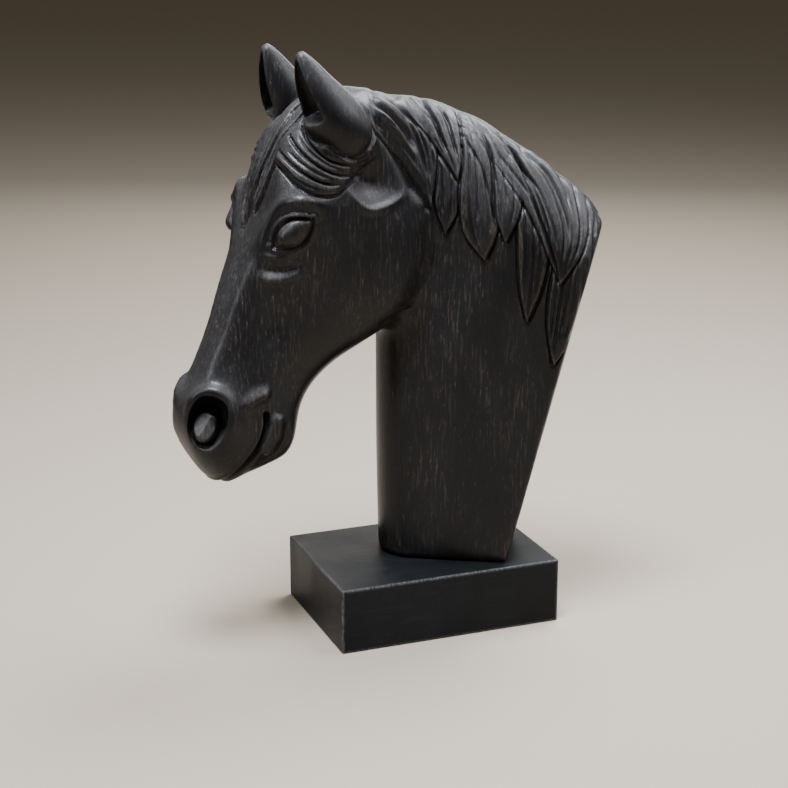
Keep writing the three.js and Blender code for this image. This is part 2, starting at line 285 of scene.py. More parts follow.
def curve_through(stops, steps):
    """A smooth line through the stops. Rows may be of any width, so sizes ride along with places."""
    stops = np.asarray(stops, float)
    ends = np.vstack([2 * stops[0] - stops[1], stops, 2 * stops[-1] - stops[-2]])
    line = []
    for i in range(len(stops) - 1):
        a, b, c, d = ends[i:i + 4]
        for t in np.linspace(0, 1, steps, endpoint=False):
            line.append(0.5 * (2 * b + (c - a) * t + (2 * a - 5 * b + 4 * c - d) * t * t
                               + (3 * b - a - 3 * c + d) * t ** 3))
    line.append(stops[-1])
    return np.array(line)


def nearest_on(line, spots):
    """For each spot: its distance from the line, signed in the plane, and how far along it is."""
    best = np.full(len(spots), 1e9)
    along = np.zeros(len(spots))
    signed = np.zeros(len(spots))
    lengths = np.linalg.norm(np.diff(line, axis=0), axis=1)
    starts = np.concatenate([[0], np.cumsum(lengths)])
    for i, length in enumerate(lengths):
        step = (line[i + 1] - line[i]) / length
        offset = spots - line[i]
        t = np.clip(offset @ step, 0, length)
        away = offset - t[:, None] * step
        gap = np.sqrt((away ** 2).sum(1))
        closer = gap < best
        best[closer] = gap[closer]
        along[closer] = (starts[i] + t)[closer] / starts[-1]
        if spots.shape[1] == 2:
            turn = step[0] * offset[:, 1] - step[1] * offset[:, 0]
            signed[closer] = np.where(turn < 0, -gap, gap)[closer]
    return (signed if spots.shape[1] == 2 else best), along


def stroke(spots, path, width, high, fade=0.15):
    """A rounded ridge, or a groove where high is negative, along a path on the surface."""
    line = curve_through(path, 8)
    low, top = line.min(0) - 3 * width, line.max(0) + 3 * width
    close = ((spots > low) & (spots < top)).all(1)
    result = np.zeros(len(spots))
    gap, along = nearest_on(line, spots[close])
    ends = smooth_step(along, 0, fade) * smooth_step(1 - along, 0, fade)
    result[close] = high * np.exp(-(gap / width) ** 2) * ends
    return result


def swell(spots, middle, radii, high):
    """A soft bump, or a hollow where high is negative, that fades away at its radii."""
    away = (spots - np.array(middle)) / np.array(radii)
    return high * np.exp(-2 * (away ** 2).sum(1))


def inside_of(outline, spots):
    """Which spots lie inside a closed outline."""
    inside = np.zeros(len(spots), bool)
    for (x0, y0), (x1, y1) in zip(outline, np.roll(outline, -1, axis=0)):
        crosses = (y0 > spots[:, 1]) != (y1 > spots[:, 1])
        reach = x0 + (spots[:, 1] - y0) / (y1 - y0 + 1e-12) * (x1 - x0)
        inside ^= crosses & (spots[:, 0] < reach)
    return inside


def lay_pad(high, spots, stops, thick, cuts):
    """Lays a raised pad of hair inside an outline and cuts it into strands."""
    outline = curve_through(list(stops) + [stops[0]], 6)
    low, top = outline.min(0) - 8, outline.max(0) + 8
    close = np.nonzero(((spots > low) & (spots < top)).all(1))[0]
    near = spots[close]
    gap = np.abs(nearest_on(outline, near)[0])
    inner = np.where(inside_of(outline[:-1], near), gap, -gap)
    cover = smooth_step(inner, -0.8, 0.8)
    body = thick * (0.55 + 0.45 * smooth_step(inner, 0.5, 5))
    for deep, path in cuts:
        off, along = nearest_on(curve_through(path, 8), near)
        fade = smooth_step(along, 0, 0.25) * smooth_step(1 - along, 0, 0.2)
        body -= deep * fade * np.exp(-(off / 1.3) ** 2)
    beside = np.exp(-((inner + 1.3) / 1.4) ** 2)
    high[close] = high[close] * (1 - cover) + body * cover - 2.4 * beside * (1 - cover)


# ---- the face ------------------------------------------------------------------------------------

def carve_face(points, form_normals):
    """Broad face shapes, alike on both sides, and the left jaw's crease over the neck."""
    spots = to_head(points)
    left = spots[:, 0] > 0
    crease = stroke(spots, [(49, -82, 80), (49, -88, 100), (43, -91, 130), (33, -89, 160), (42, -60, 178),
                            (50, -43, 184)], 4.5, -3.2)
    # The right eye's socket stands a little further out than the left one's.
    high = crease * left + swell(spots, (-60, 78, 116), (20, 24, 44), 4.5)
    high += swell(spots, (-60, 86, 103), (14, 16, 13), 8.5)
    high += swell(spots, (-58, 78, 138), (16, 18, 17), 8.0)
    spots[:, 0] = np.abs(spots[:, 0])
    # The brow, the lid's crease under it, the hollow of the temple and its ridge, and the chin.
    high += stroke(spots, [(29, 96, 158), (31, 96, 134), (35, 95, 112), (46, 92, 95), (59, 80, 86),
                           (66, 60, 85), (66, 40, 80)], 8, 4.6, fade=0.3)
    high += left * stroke(spots, [(37, 93, 142), (39, 93, 124), (46, 92, 108), (57, 86, 98)], 5.5, -3.2,
                          fade=0.3)
    high += swell(spots, (62, 80, 100), (16, 18, 24), 4.0)
    high += swell(spots, (16, 6, 326), (34, 20, 30), 5.0)
    high += swell(spots, (53, 12, 52), (14, 30, 17), -8.0)
    high += stroke(spots, [(58, 44, 56), (60, 28, 70), (60, 10, 79), (57, -8, 74), (53, -26, 61),
                           (50, -38, 50)], 4.6, 4.4, fade=0.35)
    # The nose's ridge.
    high += stroke(spots, [(0, 100, 140), (0, 105, 200), (0, 109, 262)], 9, 1.2, fade=0.3)
    high += stroke(spots, [(13, 99, 140), (12, 104, 200), (12, 108, 262)], 7, -1.2, fade=0.3)
    # The lower lid and the folds under the eye.
    high += stroke(spots, [(31, 94, 144), (38, 88, 147), (46, 78, 144), (52, 66, 134)], 3.6, 2.2,
                   fade=0.3)
    high += stroke(spots, [(29, 95, 157), (38, 84, 159), (47, 70, 155), (54, 56, 144)], 3.6, -2.6,
                   fade=0.3)
    high += stroke(spots, [(27, 95, 167), (36, 82, 169), (46, 67, 163), (54, 52, 150)], 4.4, 3.4,
                   fade=0.35)
    high += stroke(spots, [(46, 66, 176), (44, 62, 210), (40, 60, 240)], 13, -3.0, fade=0.45)
    # The rim over each nostril, the second fold behind it, and the valley between them.
    high += stroke(spots, [(14, 116, 318), (15, 117, 303), (21, 112, 290), (31, 103, 284), (41, 92, 287),
                           (47, 84, 298), (48, 80, 314), (44, 79, 330)], 6.5, 4.6, fade=0.22)
    high += stroke(spots, [(46, 72, 299), (43, 67, 289), (40, 60, 282), (38, 51, 277), (36, 42, 275)],
                   7, 6.0, fade=0.3)
    high += stroke(spots, [(50, 84, 268), (48, 80, 280), (47, 76, 296)], 5, -3.6, fade=0.35)
    # The lower lip and the chin's edge under it.
    high += stroke(spots, [(38, 30, 292), (37, 28, 314), (32, 32, 338)], 6, 3.6)
    high += stroke(spots, [(37, 16, 298), (36, 14, 316), (31, 19, 336), (24, 30, 350)], 4.2, -3.0)
    for hand in (-1, 1):
        apart = ear_gap(points, hand)
        high += -3.4 * np.exp(-((apart - 1.0) / 3.6) ** 2)
        behind = smooth_step(-to_ear(points, hand)[:, 1], -12, 4)
        high += 2.8 * behind * np.exp(-((apart - 8.5) / 3.0) ** 2)
    return points + form_normals * high[:, None]


# ---- eyes ----------------------------------------------------------------------------------------

def carve_eyes(points, form_normals):
    """An almond eye: a low dome in a sunk outline, under a thick upper lid."""
    spots = to_head(points)
    mirrored = spots.copy()
    mirrored[:, 0] = np.abs(mirrored[:, 0])
    long_way = np.array([0.40, -0.48, -0.78])
    long_way /= np.linalg.norm(long_way)
    outward = np.array([0.88, 0.47, 0.0])
    outward -= long_way * (outward @ long_way)
    outward /= np.linalg.norm(outward)
    short_way = np.cross(outward, long_way)
    if short_way[2] > 0:
        short_way = -short_way
    away = mirrored - EYE
    p, q, n = away @ long_way, away @ short_way, away @ outward
    close = smooth_step(-np.hypot(p, q), -42, -34) * (np.abs(n) < 30)
    half_long, half_high = 22.5, 12.5
    lid = half_high * np.clip(1 - (p / half_long) ** 2, 0, 1)
    slope = 2 * half_high * np.abs(p) / half_long ** 2
    gap = (np.abs(q) - lid) / np.sqrt(1 + slope ** 2)
    past = np.hypot(np.maximum(np.abs(p) - half_long, 0), q)
    gap = np.where(np.abs(p) > half_long, past, gap)
    upper = smooth_step(q, -3, 3)
    depth = np.clip(-gap / half_high, 0, 1)
    high = np.where(gap < 0, 4.6 * np.sqrt(depth * (2 - depth)) - 1.0, 0.0)
    high += -(2.4 + 1.2 * upper) * np.exp(-((gap - 0.4) / 1.4) ** 2)
    high += (0.9 + 1.5 * upper) * np.exp(-((gap - 3.8) / 2.2) ** 2)
    high *= close * np.where(spots[:, 0] > 0, 1.0, 0.45)
    return points + form_normals * high[:, None]


# ---- hair ----------------------------------------------------------------------------------------

def lay_lock(high, spots, stops, thick, strands, seed, root=0.32, fine=2):
    """Lays one leaf-shaped lock over what is there, cut into strands. stops are across, along, width."""
    rng = np.random.default_rng(seed)
    line = curve_through(stops, 10)
    reach = line[:, 2].max() / 2 + 5
    low, top = line[:, :2].min(0) - reach, line[:, :2].max(0) + reach
    close = np.nonzero(((spots > low) & (spots < top)).all(1))[0]
    if len(close) == 0:
        return
    gap, along = nearest_on(line[:, :2], spots[close])
    half = np.interp(along, np.linspace(0, 1, len(line)), np.maximum(line[:, 2] / 2, 0.3))
    x = gap / half
    grown = smooth_step(along, 0, root)
    crown = 1 - 0.35 * x ** 2
    body = thick * (0.45 + 0.55 * along) * crown
    for k in range(1, strands):
        place = -1 + 2 * k / strands + rng.uniform(-0.12, 0.12) / strands * 2
        start, stop = rng.uniform(-0.1, 0.3), rng.uniform(0.75, 1.0)
        deep = rng.uniform(1.2, 2.2) * smooth_step(along, start, start + 0.15)
        deep *= smooth_step(-along, -stop, -stop + 0.12)
        body -= deep * np.exp(-((x - place) * half / 1.15) ** 2)
    for _ in range(fine * strands):
        place, start = rng.uniform(-0.92, 0.92), rng.uniform(0, 0.7)
        stop = start + rng.uniform(0.15, 0.35)
        faint = rng.uniform(0.3, 0.7) * smooth_step(along, start, start + 0.06)
        faint *= smooth_step(-along, -stop, -stop + 0.06)
        body -= faint * np.exp(-((x - place) * half / 0.9) ** 2)
    shoulder = 1 - smooth_step(np.abs(gap), half - 1.6, half + 0.2)
    inside = (np.abs(gap) < half + 0.2) & (along < 0.999) & (along > 0)
    cover = shoulder * grown * inside
    beside = np.exp(-((np.abs(gap) - half - 0.9) / 1.3) ** 2) * grown * (along < 0.999) * (along > 0)
    tip = np.linalg.norm(spots[close] - line[-1, :2], axis=1)
    beside = np.maximum(beside, 0.6 * np.exp(-(tip / 3.0) ** 2))
    high[close] = high[close] * (1 - cover) + body * cover - 2.2 * beside * (1 - cover)


# Locks of the mane's left side, lowest layer first: reach, up and width at each stop.
LEFT_LOCKS = [
    ([(58, 556, 26), (22, 548, 34), (-22, 528, 34), (-64, 508, 34), (-104, 480, 32),
      (-150, 446, 26)], 3.5, 5),
    ([(-60, 512, 20), (-104, 486, 28), (-146, 456, 30), (-176, 424, 18), (-184, 400, 6)], 4.0, 6),
    ([(-144, 462, 22), (-166, 436, 30), (-172, 396, 30), (-160, 350, 24), (-150, 320, 10)], 4.0, 6),
    ([(-164, 446, 22), (-162, 416, 30), (-157, 376, 36), (-150, 330, 28), (-142, 284, 2)], 5.0, 6),
    ([(-92, 492, 14), (-106, 468, 22), (-116, 436, 29), (-120, 400, 31),
      (-118, 366, 22), (-115, 328, 2)], 5.0, 4),
    ([(-24, 506, 12), (-29, 488, 21), (-33, 464, 26), (-34, 441, 23), (-32, 415, 2)], 5.0, 3),
    ([(-34, 536, 16), (-48, 520, 22), (-58, 498, 30), (-62, 468, 36), (-65, 438, 36),
      (-72, 389, 2)], 6.0, 4),
    ([(-44, 530, 26), (-64, 514, 36), (-82, 489, 37), (-90, 461, 33), (-93, 438, 25),
      (-92, 407, 2)], 6.5, 4),
    ([(-72, 514, 30), (-104, 490, 48), (-128, 465, 56), (-141, 440, 52),
      (-149, 412, 38), (-148, 368, 2)], 7.0, 6),
    ([(60, 558, 14), (34, 548, 26), (12, 528, 37), (-3, 504, 37), (-11, 481, 29), (-15, 458, 16),
      (-16, 440, 2)], 6.0, 5),
    ([(10, 546, 22), (-10, 534, 32), (-24, 518, 32), (-33, 500, 26), (-40, 482, 16),
      (-44, 466, 2)], 6.0, 3),
]

# Deep cuts that part the locks: width, depth, then reach and up along the cut.
LEFT_CUTS = [
    (4.4, 8.5, [(48, 556), (36, 540), (25, 521), (13, 499), (3, 477), (-6, 457), (-13, 444)]),
    (1.6, 3.8, [(46, 556), (21, 533), (8, 512), (-1, 492)]),
    (1.6, 3.8, [(33, 552), (14, 536), (0, 509), (-9, 484), (-13, 466)]),
    (1.8, 4.2, [(14, 548), (-2, 540), (-16, 524), (-27, 502), (-32, 490)]),
    (1.5, 3.0, [(-8, 540), (-24, 528), (-34, 508), (-42, 486)]),
    (1.8, 4.0, [(-44, 530), (-62, 512), (-74, 488), (-78, 462), (-80, 436), (-84, 416)]),
    (1.5, 3.4, [(-66, 516), (-90, 496), (-110, 470), (-126, 440), (-138, 404)]),
    (1.8, 4.0, [(-84, 504), (-100, 484), (-114, 456), (-126, 428), (-138, 398), (-146, 372)]),
    (1.5, 3.2, [(-98, 496), (-128, 470), (-148, 436), (-156, 404)]),
]

# The right side is plainer: the mane only turns over the crest there.
RIGHT_LOCKS = [
    ([(50, 552, 24), (10, 544, 32), (-30, 526, 34), (-70, 504, 34), (-110, 476, 30),
      (-150, 446, 24)], 3.5, 6),
    ([(-60, 510, 22), (-104, 484, 28), (-146, 454, 30), (-176, 424, 14)], 4.0, 5),
    ([(-140, 462, 22), (-162, 428, 32), (-162, 384, 28), (-152, 342, 2)], 5.5, 5),
    ([(-96, 490, 26), (-118, 454, 36), (-128, 418, 28), (-122, 380, 2)], 5.5, 5),
    ([(-58, 510, 26), (-78, 480, 36), (-88, 450, 28), (-84, 416, 2)], 5.5, 5),
    ([(-20, 526, 26), (-38, 500, 34), (-47, 474, 26), (-46, 442, 2)], 5.5, 5),
    ([(16, 536, 26), (0, 512, 34), (-12, 490, 24), (-16, 460, 2)], 5.5, 5),
]


DEEPEST_CUT = 8.0            # where cuts cross, they go no deeper


def carve_hair(points, form_normals):
    """The mane: locks on each side of a parting that runs along the crest."""
    reach, side, up = to_neck(points).T
    parting = np.interp(reach, [-60, -10, 20, 36], [0, 3, 11, 29])
    total = np.zeros(len(points))
    spots = np.stack([reach, up], 1)
    for hand, locks, cuts in ((1, LEFT_LOCKS, LEFT_CUTS), (-1, RIGHT_LOCKS, [])):
        high = np.zeros(len(points))
        for number, (stops, thick, strands) in enumerate(locks):
            lay_lock(high, spots, stops, thick, strands, seed=40 * hand + 100 + number,
                     root=0.08 if thick < 4.5 else 0.32)
        for wide, deep, path in cuts:
            high += stroke(spots, path, wide, -deep, fade=0.2)
        high = np.maximum(high, -DEEPEST_CUT)
        total += high * smooth_step(hand * (side - parting), -3, 3)
    off_back = np.maximum(smooth_step(form_normals @ NECK[0], -0.93, -0.7), smooth_step(reach, -95, -80))
    off_back = off_back * (0.5 + 0.5 * smooth_step(np.abs(side - parting), 2, 12))
    past_ear = smooth_step(to_head(points)[:, 1], 30, 8)
    between_ears = smooth_step(-np.abs(to_head(points)[:, 0]), -26, -14)
    keep = off_back * np.maximum(past_ear, between_ears)
    return points + form_normals * (total * keep)[:, None]


# Locks of the forelock: side, down and width at each stop.
FORELOCK = [
    ([(-22, -18, 14), (-21, 20, 18), (-23, 60, 17), (-22, 92, 10), (-17, 114, 2)], 3.0, 2),
    ([(14, -18, 12), (13, 20, 20), (10, 56, 19), (9, 84, 12), (7, 110, 2)], 3.4, 3),
    ([(-7, -18, 14), (-6, 24, 22), (-7, 66, 22), (-10, 100, 15), (-7, 128, 2)], 4.4, 4),
]

# The swag of hair swept from the forelock back under each ear, across and down the brow's corner:
# its outline, and each cut's depth and path.
SWAG = [(-50, 8), (-60, 24), (-66, 42), (-64, 56), (-49, 65), (-30, 75), (-13, 78), (1, 74), (8, 63),
        (12, 51), (15, 41), (6, 37), (-4, 34), (-18, 28), (-32, 20)]
SWAG_CUTS = [
    (3.8, [(-52, 12), (-38, 31), (-22, 41), (-6, 45), (15, 41)]),
    (3.4, [(-60, 26), (-44, 41), (-26, 51), (-6, 56), (13, 52)]),
    (3.6, [(-66, 44), (-50, 54), (-30, 63), (-12, 67), (6, 63)]),
    (1.4, [(-46, 30), (-30, 43), (-14, 49), (0, 50)]),
    (1.2, [(-54, 44), (-36, 54), (-18, 60), (-4, 61)]),
]


def carve_forelock(points, form_normals):
    """The swags under the ears, and the forelock over them."""
    spots = to_head(points)
    turned = form_normals @ HEAD.T
    total = np.zeros(len(points))
    for hand in (-1, 1):
        look = np.array([0.75 * hand, 0.66, 0.0])
        across = np.array([0.66 * hand, -0.75, 0.0])
        chart = np.stack([spots @ across, spots[:, 2]], 1)
        high = np.zeros(len(points))
        lay_pad(high, chart, SWAG, 4.4, SWAG_CUTS)
        total += high * smooth_step(turned @ look, 0.15, 0.4) * (hand * spots[:, 0] > 0)
    chart = spots[:, [0, 2]]
    high = total.copy()
    for number, (stops, thick, strands) in enumerate(FORELOCK):
        lay_lock(high, chart, stops, thick, strands, seed=400 + number, root=0.15, fine=0)
    front = smooth_step(turned[:, 1], 0.15, 0.45)
    total = total * (1 - front) + high * front
    return points + form_normals * total[:, None]


# ---- mouth, nostrils and ears --------------------------------------------------------------------

def carve_mouth(points, form_normals):
    """The slit between the lips, with a soft rim along it."""
    spots = to_head(points)
    spots[:, 0] = np.abs(spots[:, 0])
    chart = spots[:, 1:]
    line = curve_through([(45, 292), (41, 308), (42, 330), (49, 352), (60, 376)], 10)
    gap, along = nearest_on(line, chart)
    wide = 3.0 - 1.2 * along
    deep = 9.0 * smooth_step(along, 0, 0.05) * np.exp(-(np.abs(gap) / wide) ** 3)
    close = (spots[:, 2] > 286) & (np.abs(gap) < 12)
    rim = 1.6 * np.exp(-((np.abs(gap) - 6.0) / 2.4) ** 2) * smooth_step(along, 0.02, 0.15)
    return points + form_normals * ((rim - deep) * close)[:, None]


def shaped_ball(name, profile, place):
    """A ball whose rings follow rows of along, half width, half depth and forward, set by a place."""
    bpy.ops.object.select_all(action="DESELECT")
    bpy.ops.mesh.primitive_uv_sphere_add(segments=56, ring_count=44, radius=1.0)
    ball = bpy.context.object
    ball.name = name
    unit = places(ball) * MM
    rows = curve_through(profile, 12)
    turn = np.arccos(np.clip(unit[:, 2], -1, 1)) / math.pi
    at = 1 - turn
    stations = np.linspace(0, 1, len(rows))
    along, wide, deep, forward = (np.interp(at, stations, rows[:, i]) for i in range(4))
    ring = np.maximum(np.hypot(unit[:, 0], unit[:, 1]), 1e-9)
    round_off = np.minimum(1.0, np.sin(math.pi * at) / math.sin(math.pi / 44) + 1e-3)
    x = unit[:, 0] / ring * wide * round_off
    y = unit[:, 1] / ring * deep * round_off + forward
    put(ball, place(np.stack([x, y, along], 1)))
    return ball


def ear_place(hand):
    def place(local):
        return from_head(ear_root(hand) + local @ ear_axes(hand))
    return place


def chip(local, hand):
    """Chops a rough face on the wood left in a nostril: two flats that meet in a ridge."""
    across, out, down = local.T
    ahead = -hand * across
    forward_flat = -5.5 - 0.35 * ahead + 0.3 * down
    rear_flat = -4.0 + 0.3 * ahead + 0.15 * down
    return np.stack([across - 3.0 * hand, np.minimum(np.minimum(out, forward_flat), rear_flat), down], 1)


def nostril_place(hand, skin, shape=None):
    """Where a nostril's own across, out and down lie, measured from the muzzle's skin around it."""
    rows = np.array([[0.64, -0.77 * hand, 0.0], [0.77 * hand, 0.64, 0.0], [0.0, 0.0, 1.0]])
    middle = NOSTRIL_MIDDLE * [hand, 1, 1]
    across, out, down = ((to_head(skin) - middle) @ rows.T).T
    ring = np.abs(np.hypot(across, down) - 21) < 2
    rim = out[ring & (out > -15)].mean()

    def place(local):
        if shape:
            local = shape(local, hand)
        return from_head(middle + (local + np.array([0, rim, 0])) @ rows)
    return place


# Rings down the nostril: along, half width, half depth and how far out.
NOSTRIL = [(-28, 1, 1, 0), (-23, 13, 17, 0), (-9, 19, 25, 0), (8, 18.5, 25, 0), (22, 12, 17, 0),
           (30, 1, 1, 0)]
# The rough wood left standing in the nostril's floor.
NOSTRIL_FLOOR = [(-9, 1, 1, -16), (-6, 8, 13, -16), (3, 12, 16, -16), (13, 11.5, 15, -16),
                 (20, 8, 11, -16), (25, 1, 1, -16)]


def shape_ears_and_nostrils(body):
    """Full ears set on the head, then their hollows and the nostrils cut, each with its rough floor."""
    hands = (-1, 1)
    skin = places(body)
    cut(body, [shaped_ball("ear", EAR, ear_place(hand)) for hand in hands], "UNION")
    hollows = []
    for hand in hands:
        narrowed = [(along, wide * (0.82 + 0.18 * hand), deep, forward)
                    for along, wide, deep, forward in EAR_HOLLOW]
        hollows.append(shaped_ball("ear_hollow", narrowed, ear_place(hand)))
    hollows += [shaped_ball("nostril", NOSTRIL, nostril_place(hand, skin)) for hand in hands]
    cut(body, hollows, "DIFFERENCE")
    floors = [shaped_ball("floor", NOSTRIL_FLOOR, nostril_place(hand, skin, chip)) for hand in hands]
    cut(body, floors, "UNION")


# ---- carving the horse ---------------------------------------------------------------------------

def even_normals(obj, edges, rounds):
    """Normals averaged with their neighbours, so that cuts run true over small bumps."""
    even = normals_of(obj)
    for _ in range(rounds):
        even = near_mean(even, edges)
    return even / np.linalg.norm(even, axis=1)[:, None]


def shade_smooth(obj):
    obj.data.polygons.foreach_set("use_smooth", np.ones(len(obj.data.polygons), bool))
    obj.data.update()


def carve_horse():
    """The whole carving, worked from broad forms to fine ones."""
    horse = rough_form()
    shade_smooth(horse)
    edges = edges_of(horse)
    put(horse, carve_face(places(horse), even_normals(horse, edges, 10)))
    points = soften(places(horse), edges, np.full(len(horse.data.vertices), 0.8), 3, keep_size=False)
    put(horse, points)
    form_normals = even_normals(horse, edges, 12)
    points = carve_eyes(points, form_normals)
    points = carve_mouth(points, form_normals)
    points = carve_hair(points, form_normals)
    points = carve_forelock(points, form_normals)
    spots = np.abs(to_head(points))
    behind_ear = smooth_step(-np.linalg.norm((spots - [58, 24, 36]) / [1.4, 1.0, 1.2], axis=1), -17, -10)
    points = soften(points, edges, behind_ear, 10, keep_size=False)
    parting = smooth_step(spots[:, 1], 68, 80) * smooth_step(-spots[:, 2], -136, -126)
    points = soften(points, edges, parting * smooth_step(-spots[:, 0], -38, -30), 3)
    put(horse, points)
    shape_ears_and_nostrils(horse)
    return horse


def finish_horse(horse):
    """Thins the flat stretches' faces, then marks the worn places, the sunk ones for painted shade,
    and the upward faces and nostril floors for dust and painted light.
    """
    only(horse)
    apply_modifier(horse, "TRIANGULATE")
    triangles = len(horse.data.polygons)
    if triangles > MOST_TRIANGLES:
        apply_modifier(horse, "DECIMATE", decimate_type="COLLAPSE", ratio=MOST_TRIANGLES / triangles)
    points = places(horse)
    edges = edges_of(horse)
    spots = np.abs(to_head(points))
    rim = smooth_step(-np.linalg.norm(spots - NOSTRIL_MIDDLE, axis=1), -42, -34)
    normal = normals_of(horse)
    smooth = soften(points, edges, np.ones(len(points)), 6, keep_size=False)
    proud = ((points - smooth) * normal).sum(1)
    proud = near_mean(proud[:, None], edges)[:, 0]
    nearest_ear = np.minimum(ear_gap(points, -1), ear_gap(points, 1))
    on_ear = smooth_step(-nearest_ear, -4, -1)
    proud *= 1 - 0.7 * np.maximum(on_ear, rim)
    # Upward faces: a grey that is partly dust and partly painted light from above.
    dust_and_painted_top_light = smooth_step(normal[:, 2], 0.05, 0.8)
    # The rough wood in the nostrils' floors gets the same grey: a painted highlight.
    floor_gap = np.linalg.norm(spots - [29, 102, 323], axis=1)
    dust_and_painted_top_light = np.maximum(dust_and_painted_top_light, smooth_step(-floor_gap, -14, -10))
    # sunk darkens the hollows in the material: painted shade.
    marks = {"worn": np.clip(proud / 0.5, 0, 1), "sunk": np.clip(-proud / 0.6, 0, 1) * (1 - rim),
             "dust_and_painted_top_light": dust_and_painted_top_light}
    for name, value in marks.items():
        layer = horse.data.attributes.new(name, "FLOAT", "POINT")
        layer.data.foreach_set("value", value.astype(np.float32))
    shade_smooth(horse)


horse = carve_horse()
finish_horse(horse)
print("horse triangles", len(horse.data.polygons))

# ---- materials -----------------------------------------------------------------------------------

# Sizes of the wood's marks in millimetres along x, y and z. The head's grain runs up it, and the
# block's along it. The marks are drawn a little coarser than real pores, so that they show.
HEAD_STREAK = (2.2, 2.2, 26.0)
BLOCK_STREAK = (3.0, 40.0, 3.0)
PATCH = (71.43, 71.43, 142.86)
FLECK = (1.923, 1.923, 8.333)
PORE = (0.7143, 0.7143, 6.25)

BLOCK_HALF = (85.0, 120.0, 34.0)
RUBBED_EDGE = (3.2, 0.6)     # how far in from the block's edges the rubbing starts and is full


def colour(code):
    """A linear colour from an sRGB hex code."""
    parts = [int(code[i:i + 2], 16) / 255 for i in (1, 3, 5)]
    return tuple(c / 12.92 if c <= 0.04045 else ((c + 0.055) / 1.055) ** 2.4 for c in parts) + (1.0,)


def add(tree, kind, inputs, **settings):
    """Adds a shader node. Each input is a value, or another node's output, which is linked to it."""
    node = tree.nodes.new("ShaderNode" + kind)
    for name, value in settings.items():
        setattr(node, name, value)
    for slot, value in inputs.items():
        if isinstance(value, bpy.types.NodeSocket):
            tree.links.new(value, node.inputs[slot])
        else:
            node.inputs[slot].default_value = value
    return node.outputs


def marks_of_size(tree, where, size, detail, roughness, distortion=0.0):
    """Noise whose marks have a size in millimetres along each axis."""
    scaled = add(tree, "Mapping", {"Vector": where, "Scale": [1 / (s * MM) for s in size]})[0]
    return add(tree, "TexNoise", {"Vector": scaled, "Scale": 1.0, "Detail": detail,
                                  "Roughness": roughness, "Distortion": distortion})["Fac"]


def rubbed_through(tree, streaks, patches, flecks, amount):
    """Where brown shows through the stain: faint long streaks, and short flecks along them."""
    long_marks = add(tree, "MapRange", {"Value": streaks, "From Min": 0.54, "From Max": 0.70})[0]
    patchy = add(tree, "MapRange", {"Value": patches, "From Min": 0.42, "From Max": 0.62})[0]
    faint = add(tree, "Math", {0: long_marks, 1: patchy}, operation="MULTIPLY")[0]
    faint = add(tree, "Math", {0: faint, 1: 0.45}, operation="MULTIPLY")[0]
    short = add(tree, "MapRange", {"Value": flecks, "From Min": 0.56, "From Max": 0.72})[0]
    on_streak = add(tree, "MapRange", {"Value": streaks, "From Min": 0.42, "From Max": 0.66})[0]
    short = add(tree, "Math", {0: short, 1: on_streak}, operation="MULTIPLY")[0]
    spread = add(tree, "MapRange", {"Value": patches, "From Min": 0.42, "From Max": 0.60})[0]
    spread = add(tree, "Math", {0: 0.35, 1: spread}, operation="ADD")[0]
    short = add(tree, "Math", {0: short, 1: spread}, operation="MULTIPLY")[0]
    marks = add(tree, "Math", {0: faint, 1: short}, operation="MAXIMUM")[0]
    return add(tree, "Math", {0: marks, 1: amount}, operation="MULTIPLY")[0]


def worn_carving(tree, rubbed, shade, flecks):
    """The carving's wear and painted light: proud edges rubbed, upper faces grey from dust and a
    painted top light, and hollows darkened as painted shade.
    """
    worn, sunk, dust_and_painted_top_light = (add(tree, "Attribute", {}, attribute_name=name)["Fac"]
                         for name in ("worn", "sunk", "dust_and_painted_top_light"))
    proud = add(tree, "MapRange", {"Value": worn, "From Min": 0.3, "From Max": 1.0})[0]
    broken = add(tree, "MapRange", {"Value": flecks, "From Min": 0.40, "From Max": 0.66})[0]
    edges = add(tree, "Math", {0: proud, 1: broken}, operation="MULTIPLY")[0]
    edges = add(tree, "Math", {0: edges, 1: 0.20}, operation="MULTIPLY")[0]
    rubbed = add(tree, "Math", {0: rubbed, 1: edges}, operation="MAXIMUM")[0]
    # Upward faces greyed: partly dust, partly painted top light; on the nostrils' floors, a painted
    # highlight.
    speckled = add(tree, "MapRange", {"Value": flecks, "From Min": 0.15, "From Max": 0.75})[0]
    top_light_and_dust = add(tree, "Math", {0: dust_and_painted_top_light, 1: speckled}, operation="MULTIPLY")[0]
    shade = add(tree, "Mix", {0: top_light_and_dust, 6: shade, 7: colour("#484746")}, data_type="RGBA")[2]
    # Hollows darkened to near-black: painted shade.
    hollow = add(tree, "MapRange", {"Value": sunk, "From Min": 0.15, "From Max": 0.9})[0]
    shade = add(tree, "Mix", {0: hollow, 6: shade, 7: colour("#0c0c0d")}, data_type="RGBA")[2]
    return rubbed, shade


